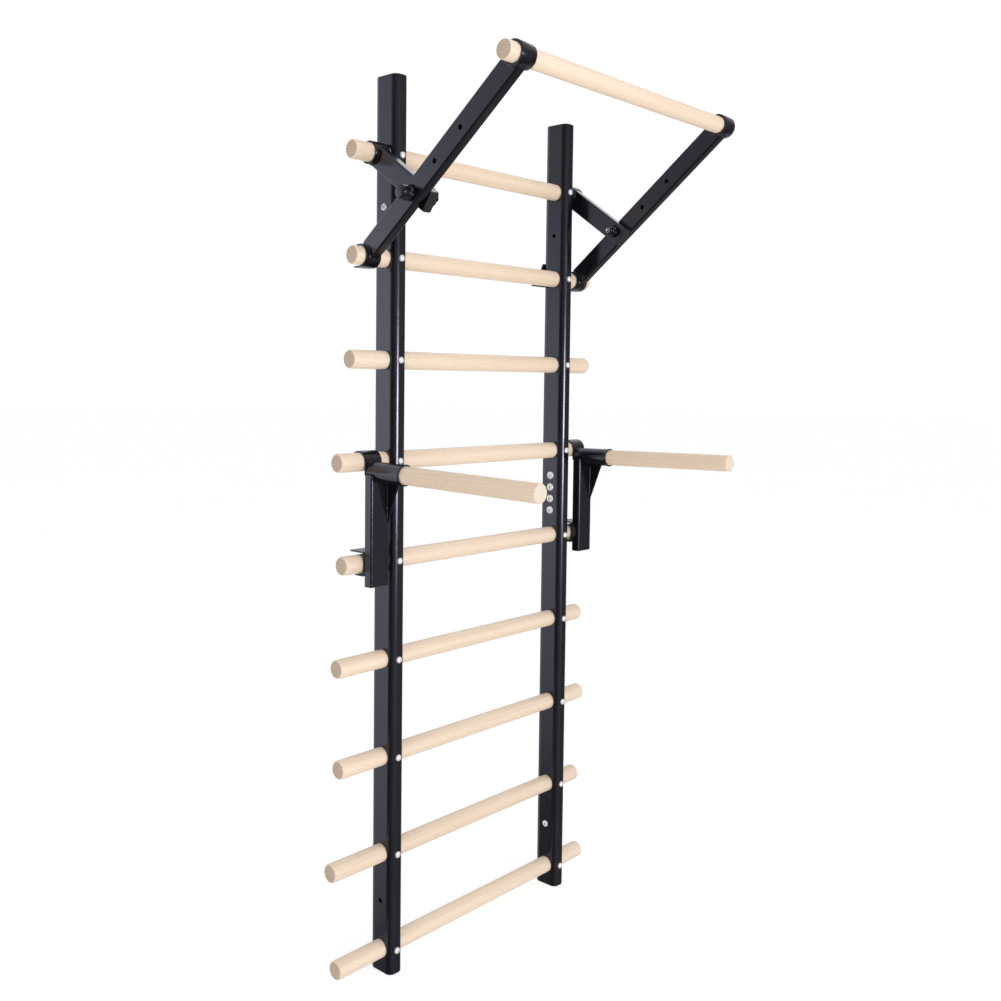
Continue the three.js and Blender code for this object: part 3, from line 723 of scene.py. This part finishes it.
# ------------------------------------------------------------------ pull-up unit
for side, sx in SIDES:
    ax, bx = sx * ARM_X, sx * BRACE_X
    arm, brace = f"pullup_arm_{side}", f"pullup_brace_{side}"
    holes = [cyl(hr, (ax - 20, R2.y + ARM_DIR.y * s, R2.z + ARM_DIR.z * s), (ax + 20, R2.y + ARM_DIR.y * s, R2.z + ARM_DIR.z * s), 32) for s, hr in ((161.7, 5.5), (239.0, 4.8), (316.5, 4.8))]
    cope = [cyl(21.3, (ax - 30, R2.y, R2.z), (ax + 30, R2.y, R2.z), 72), cyl(21.4, (ax - 30, BAR.y, BAR.z), (ax + 30, BAR.y, BAR.z), 72)]
    ob = beam(f"arm_tube_{side}", ax, R2, ARM_DIR, 17.0, ARM_LEN - 6.0, holes + cope)
    placed(ob, "pullup_unit", "black_paint", arm)
    placed(ring(f"arm_ring_{side}", ax, BAR, 21.5, BAR_R + 0.25, 35.0), "pullup_unit", "black_paint", arm)
    placed(fork(f"arm_fork_{side}", ax, 35.0, R2, 18.4, 3.0, 8.0, 15.0), "pullup_unit", "black_paint", arm)
    placed(saddle_bead(f"arm_weld_top_{side}", ax, BAR, 21.6, -ARM_DIR, 10.0, 20.0), "pullup_unit", "black_paint", arm)
    placed(saddle_bead(f"arm_weld_low_{side}", ax, R2, 21.5, ARM_DIR, 10.0, 20.0), "pullup_unit", "black_paint", arm)
    # brace
    cutters = [cyl(5.5, (bx - 20, BOLT.y, BOLT.z), (bx + 20, BOLT.y, BOLT.z), 32), cyl(21.3, (bx - 30, R1.y, R1.z), (bx + 30, R1.y, R1.z), 72)]
    ob = beam(f"brace_tube_{side}", bx, R1, BRACE_DIR, 6.0, BRACE_LEN + BRACE_TAIL - 2.2, cutters)
    placed(ob, "pullup_unit", "black_paint", brace)
    placed(ring(f"brace_ring_{side}", bx, R1, 21.4, RUNG_R + 0.4, 35.0), "pullup_unit", "black_paint", brace)
    placed(saddle_bead(f"brace_weld_{side}", bx, R1, 21.5, BRACE_DIR, 10.0, 20.0), "pullup_unit", "black_paint", brace)
    plug(f"brace_plug_{side}", bx, R1, BRACE_DIR, BRACE_LEN + BRACE_TAIL - 2.1, "pullup_unit")
    # clamp: moulded head outside, stud through, lobed knob inside
    face = ax + sx * (TUBE_B / 2 + 0.1)
    ob = lobed(f"clamp_head_{side}", (face, BOLT.y, BOLT.z), sx, HEAD_LEVELS[side])
    placed(ob, "pullup_unit", "black_plastic", f"clamp_bolt_{side}")
    length = abs(sx * 257.0 - face)
    prof = [(5.0, 1.0), (5.0, -(length - 9.0))]
    h = length - 9.0
    while h < length - 3.8:
        prof += [(4.95, -h), (4.35, -(h + 0.62)), (4.95, -(h + 1.24))]
        h += 1.25
    prof += [(4.4, -(length - 2.4)), (3.2, -(length - 1.3)), (2.0, -(length - 0.2)), (1.0, -(length - 0.05)), (0.0, -length)]
    # the flat centre of the stud's tip takes the bright zinc material (index 1): a painted highlight, a light dot that
    # stands in for the glint on the blackened stud's end
    ob = lathe(f"clamp_stud_{side}", prof, (face, BOLT.y, BOLT.z), X * sx, [STEEL, ZINC], 40, 1, sharp=25)
    placed(ob, "pullup_unit", "black_plastic", f"clamp_bolt_{side}")
    # knob
    k0 = bx - sx * (TUBE_B / 2 + 0.3)
    ob = lobed(f"clamp_knob_grip_{side}", (k0, BOLT.y, BOLT.z), -sx, KNOB_LEVELS[side], 5.25)
    placed(ob, f"knob_{side}", "black_plastic", f"clamp_knob_{side}")

# ------------------------------------------------------------------ dip bars
for side, sx in SIDES:
    x = sx * DIP_X
    body, node = f"dip_{side}", f"dip_bracket_{side}"
    ty = RUNG_Y - 31.0
    at, along, down = grip_axis(side)
    ob = make(f"dip_tube_{side}", *hollow(round_rect(DIP_W, TUBE_B, TUBE_R, 5), round_rect(DIP_W - 2 * TUBE_T, TUBE_B - 2 * TUBE_T, TUBE_R - TUBE_T, 5),
                                          (x, ty, 768.2), X, Y, Z, GRIP_Z - 5.0 - 768.2), [PAINT])
    cut(ob, [cyl(18.9, at + along * 130, at, 72)])
    edges(ob, 0.4, 2, 50)
    placed(ob, body, "black_paint", node)
    cap = make(f"dip_plug_{side}", *prism(round_rect(DIP_W - 0.4, TUBE_B - 0.4, TUBE_R - 0.2, 5), (x, ty, 766.0), X, Y, Z, 2.1), [PLASTIC])
    edges(cap, 0.7, 3, 50)
    placed(cap, body, "black_plastic")
    # sleeve with a rolled mouth
    prof = [(0.0, 21.0), (18.4, 21.0), (19.0, 21.6), (19.0, 104.6), (19.15, 105.4), (19.7, 106.0), (20.0, 106.9), (19.9, 108.0), (19.3, 108.8), (18.4, 109.1), (17.6, 108.7), (17.2, 107.8), (17.2, 27.0), (0.0, 27.0)]
    ob = lathe(f"dip_sleeve_{side}", prof, at, along, [PAINT], 72)
    placed(ob, body, "black_paint", node)
    # hook over the rung, open at the bottom
    hook = [(17.9, -12.0), (21.1, -12.0)] + arc_pts(0, 0, 21.1, 0, 180, 40) + [(-21.1, -24.0), (-17.9, -24.0)] + arc_pts(0, 0, 17.9, 180, 0, 40)
    ob = make(f"dip_hook_{side}", *prism([(R4.y + a, R4.z + b) for a, b in hook], (x - 20, 0, 0), Y, Z, X, 40), [PAINT])
    edges(ob, 0.6, 2, 50)
    placed(ob, body, "black_paint", node)
    # bead between the hook and the back of the sleeve
    path, ups = [], []
    for i in range(41):
        a = math.radians(35 + 110 * i / 40)
        p = at + along * 21.3 + X * (18.8 * math.cos(a)) - down * (18.8 * math.sin(a))
        path.append(p)
        ups.append((X * math.cos(a) - down * math.sin(a) + Y * 0.4).normalized())
    placed(bead(f"dip_weld_ring_{side}", path, ups, 1.5, False), body, "black_paint", node)
    # gusset on the right edge of the tube
    gus = [(-40, GRIP_Z - 8), (-40, 884), (-41.5, 884), (-72, 962), (-72, GRIP_Z - 8)]
    ob = make(f"dip_gusset_{side}", *prism([(RUNG_Y + a, b) for a, b in gus], (x + 16, 0, 0), Y, Z, X, 4), [PAINT])
    edges(ob, 0.5, 2, 30)
    placed(ob, body, "black_paint", node)
    path = [Vector((x + 15.6, RUNG_Y - 41.3, 890 + (GRIP_Z - 20 - 890) * i / 70)) for i in range(71)]
    placed(bead(f"dip_weld_tube_{side}", path, [Vector((-0.7, -0.7, 0))] * 71, 1.4, False), body, "black_paint", node)
    path = [at + along * (44 + 27 * i / 30) + X * 15.5 + down * 11.0 for i in range(31)]
    placed(bead(f"dip_weld_sleeve_{side}", path, [Vector((-0.4, 0, -0.9))] * 31, 1.3, False), body, "black_paint", node)
    # fork on the lower rung, with bend radii
    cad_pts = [(19.0, R5.z + 25.0)] + arc_pts(-16.4, R5.z + 20.0, 5.0, 90, 180, 6) + arc_pts(-16.4, R5.z - 16.4, 5.0, 180, 270, 6) + [(4.0, R5.z - 21.4), (4.0, R5.z - 18.4)]
    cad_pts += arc_pts(-16.4, R5.z - 16.4, 2.0, 270, 180, 6) + arc_pts(-16.4, R5.z + 20.0, 2.0, 180, 90, 6) + [(19.0, R5.z + 22.0)]
    ob = make(f"dip_fork_{side}", *prism([(RUNG_Y + a, b) for a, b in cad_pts], (x - DIP_W / 2, 0, 0), Y, Z, X, DIP_W), [PAINT])
    edges(ob, 0.5, 2, 50)
    placed(ob, body, "black_paint", node)

# ------------------------------------------------------------------ wall brackets keep their CAD solids
for side, _ in SIDES:
    for level in ("upper", "lower"):
        ob = nodes[f"wall_bracket_{side}_{level}"]
        ob.data.materials.clear()
        ob.data.materials.append(PAINT)
        edges(ob, 0.5, 2, 40)

# ------------------------------------------------------------------ stage, light, camera
def stage_floor():
    m, n, bsdf = new_material("stage_floor")
    t = m.node_tree
    out = [q for q in t.nodes if q.type == "OUTPUT_MATERIAL"][0]
    coord = n.add("ShaderNodeTexCoord").outputs["Object"]
    tone = n.noise(coord, 0.8, 2.0, 0.5)
    n.link(n.mix(tone, (0.80, 0.80, 0.80), (0.84, 0.84, 0.84)), bsdf.inputs["Base Color"])
    bsdf.inputs["Roughness"].default_value = 0.9
    bsdf.inputs["Specular IOR Level"].default_value = 0.0
    glow = n.add("ShaderNodeEmission")
    glow.inputs["Color"].default_value = (1, 1, 1, 1)
    glow.inputs["Strength"].default_value = 1.16
    fill = n.add("ShaderNodeEmission")
    fill.inputs["Color"].default_value = (1, 0.985, 0.96, 1)
    fill.inputs["Strength"].default_value = 0.92
    path = n.add("ShaderNodeLightPath")
    seen = n.add("ShaderNodeMixShader")
    seen.inputs[0].default_value = 0.72
    n.link(bsdf.outputs[0], seen.inputs[1])
    n.link(glow.outputs[0], seen.inputs[2])
    pick = n.add("ShaderNodeMixShader")
    n.link(path.outputs["Is Camera Ray"], pick.inputs[0])
    n.link(fill.outputs[0], pick.inputs[1])
    n.link(seen.outputs[0], pick.inputs[2])
    n.link(pick.outputs[0], out.inputs[0])
    s = 40000.0
    ob = make("stage_floor", [(-s, -s, -0.5), (s, -s, -0.5), (s, s, -0.5), (-s, s, -0.5)], [(0, 1, 2, 3)], [m])
    ob.visible_glossy = False


stage_floor()

world = bpy.data.worlds.new("studio")
scene.world = world
world.use_nodes = True
world.node_tree.nodes.clear()
wn = Nodes(world.node_tree)
w_out = wn.add("ShaderNodeOutputWorld")
w_dir = wn.add("ShaderNodeTexCoord").outputs["Generated"]


def toward(direction):
    d = wn.add("ShaderNodeVectorMath", operation="DOT_PRODUCT")
    wn.link(w_dir, d.inputs[0])
    d.inputs[1].default_value = Vector(direction).normalized()
    return d.outputs["Value"]


# bright wall on the left behind the object, brightest at eye height and ending above the floor;
# dark on the left and on the right in front, a weak glow straight in front
slant = wn.math("MULTIPLY", wn.math("ADD", toward((1, 0, 0)), 0.667), 0.83)
rise = wn.math("SUBTRACT", toward((0, 0, 1)), slant)
wall = wn.ramp(wn.range(rise, -1.0, 1.0, 0.0, 1.0), [(0.0, (0.56,) * 3), (0.335, (0.56,) * 3), (0.40, (0.58,) * 3),
                        (0.47, (0.86,) * 3), (0.54, (0.84,) * 3), (0.62, (0.42,) * 3), (0.75, (0.34,) * 3), (1.0, (0.42,) * 3)])
foot = wn.range(wn.math("ADD", toward((0, 0, 1)), slant), -0.405, -0.375, 0.05, 1.0)
wall = wn.math("MULTIPLY", wall, foot)
height = wn.range(toward((0, 0, 1)), -1.0, 1.0, 0.0, 1.0)
room = wn.ramp(height, [(0.0, (0.05,) * 3), (0.35, (0.04,) * 3), (0.62, (0.05,) * 3), (0.80, (0.30,) * 3), (1.0, (0.42,) * 3)])
side_w = wn.ramp(toward((-0.5, 0.866, 0.0)), [(0.40, (0.0,) * 3), (0.72, (0.18,) * 3), (0.88, (0.66,) * 3), (0.93, (0.84,) * 3), (0.975, (1.0,) * 3)])
front_w = wn.range(toward((0.0, -1.0, 0.0)), 0.35, 1.0, 0.0, 0.5)
back_w = wn.range(toward((0.66, 0.75, 0.0)), 0.30, 0.90, 0.0, 0.7)
level = wn.mix(side_w, room, wall)
level = wn.mix(front_w, level, (0.38, 0.38, 0.38))
level = wn.mix(back_w, level, (0.40, 0.40, 0.40))
level = wn.math("MULTIPLY", level, 2.1)
env = wn.add("ShaderNodeBackground")
env.inputs["Color"].default_value = (0.97, 0.98, 1.0, 1)
wn.link(level, env.inputs["Strength"])
plain = wn.add("ShaderNodeBackground")
plain.inputs["Color"].default_value = (1, 1, 1, 1)
plain.inputs["Strength"].default_value = 1.05
lp = wn.add("ShaderNodeLightPath")
pick = wn.add("ShaderNodeMixShader")
wn.link(lp.outputs["Is Camera Ray"], pick.inputs[0])
wn.link(env.outputs[0], pick.inputs[1])
wn.link(plain.outputs[0], pick.inputs[2])
wn.link(pick.outputs[0], w_out.inputs[0])


def area(name, at, target, size, size_y, power, colour=(1, 1, 1)):
    data = bpy.data.lights.new(name, "AREA")
    data.shape = "RECTANGLE"
    data.size, data.size_y = size, size_y
    data.energy = power
    data.color = colour
    ob = bpy.data.objects.new(name, data)
    scene.collection.objects.link(ob)
    ob.location = at
    ob.rotation_euler = (Vector(target) - Vector(at)).to_track_quat("-Z", "Y").to_euler()
    ob.visible_camera = False
    return ob


# broad front light for the wood only, so the paint keeps its dark fronts
key = area("key", (-1.2, -4.1, 1.2), (0.0, 0.0, 0.9), 3.0, 3.0, 97.0, (1.0, 0.985, 0.96))
key.visible_glossy = False
top = area("top", (-0.4, -1.6, 4.2), (0.0, -0.1, 0.9), 3.0, 3.0, 13.0)
top.visible_glossy = False
# upright light mirrored in the rounded fronts of the posts, and a box above the arms
strip = area("strip", (1.0, -5.9, 0.80), (0.0, -0.06, 0.95), 2.6, 1.05, 215.0)
strip.visible_diffuse = False
rim = area("rim", (2.0, 0.9, 3.1), (0.25, -0.15, 1.5), 1.5, 1.5, 8.0)
rim.visible_diffuse = False

# camera: solved from the photograph, image 1001 x 1001
F, YAW, PITCH, ROLL = 1066.631, 0.835157, -0.0554073, 0.0121848
d = Vector((math.sin(YAW) * math.cos(PITCH), math.cos(YAW) * math.cos(PITCH), math.sin(PITCH)))
r = Vector((math.cos(YAW), -math.sin(YAW), 0))
u = r.cross(d)
r2 = r * math.cos(ROLL) + u * math.sin(ROLL)
u2 = u * math.cos(ROLL) - r * math.sin(ROLL)
cam = bpy.data.cameras.new("camera")
cam.sensor_width = 36.0
cam.lens = F / 1001.0 * 36.0
cam.shift_x = 0.0
cam.shift_y = -61.014 / 1001.0
cam.clip_end = 200.0
cam_ob = bpy.data.objects.new("camera", cam)
scene.collection.objects.link(cam_ob)
rot = Matrix((r2, u2, -d)).transposed()
cam_ob.matrix_world = Matrix.Translation((-1.611634, -1.516905 + RUNG_Y * MM, 1.150473)) @ rot.to_4x4()
scene.camera = cam_ob
scene.view_settings.view_transform = "Standard"
scene.view_settings.look = "None"
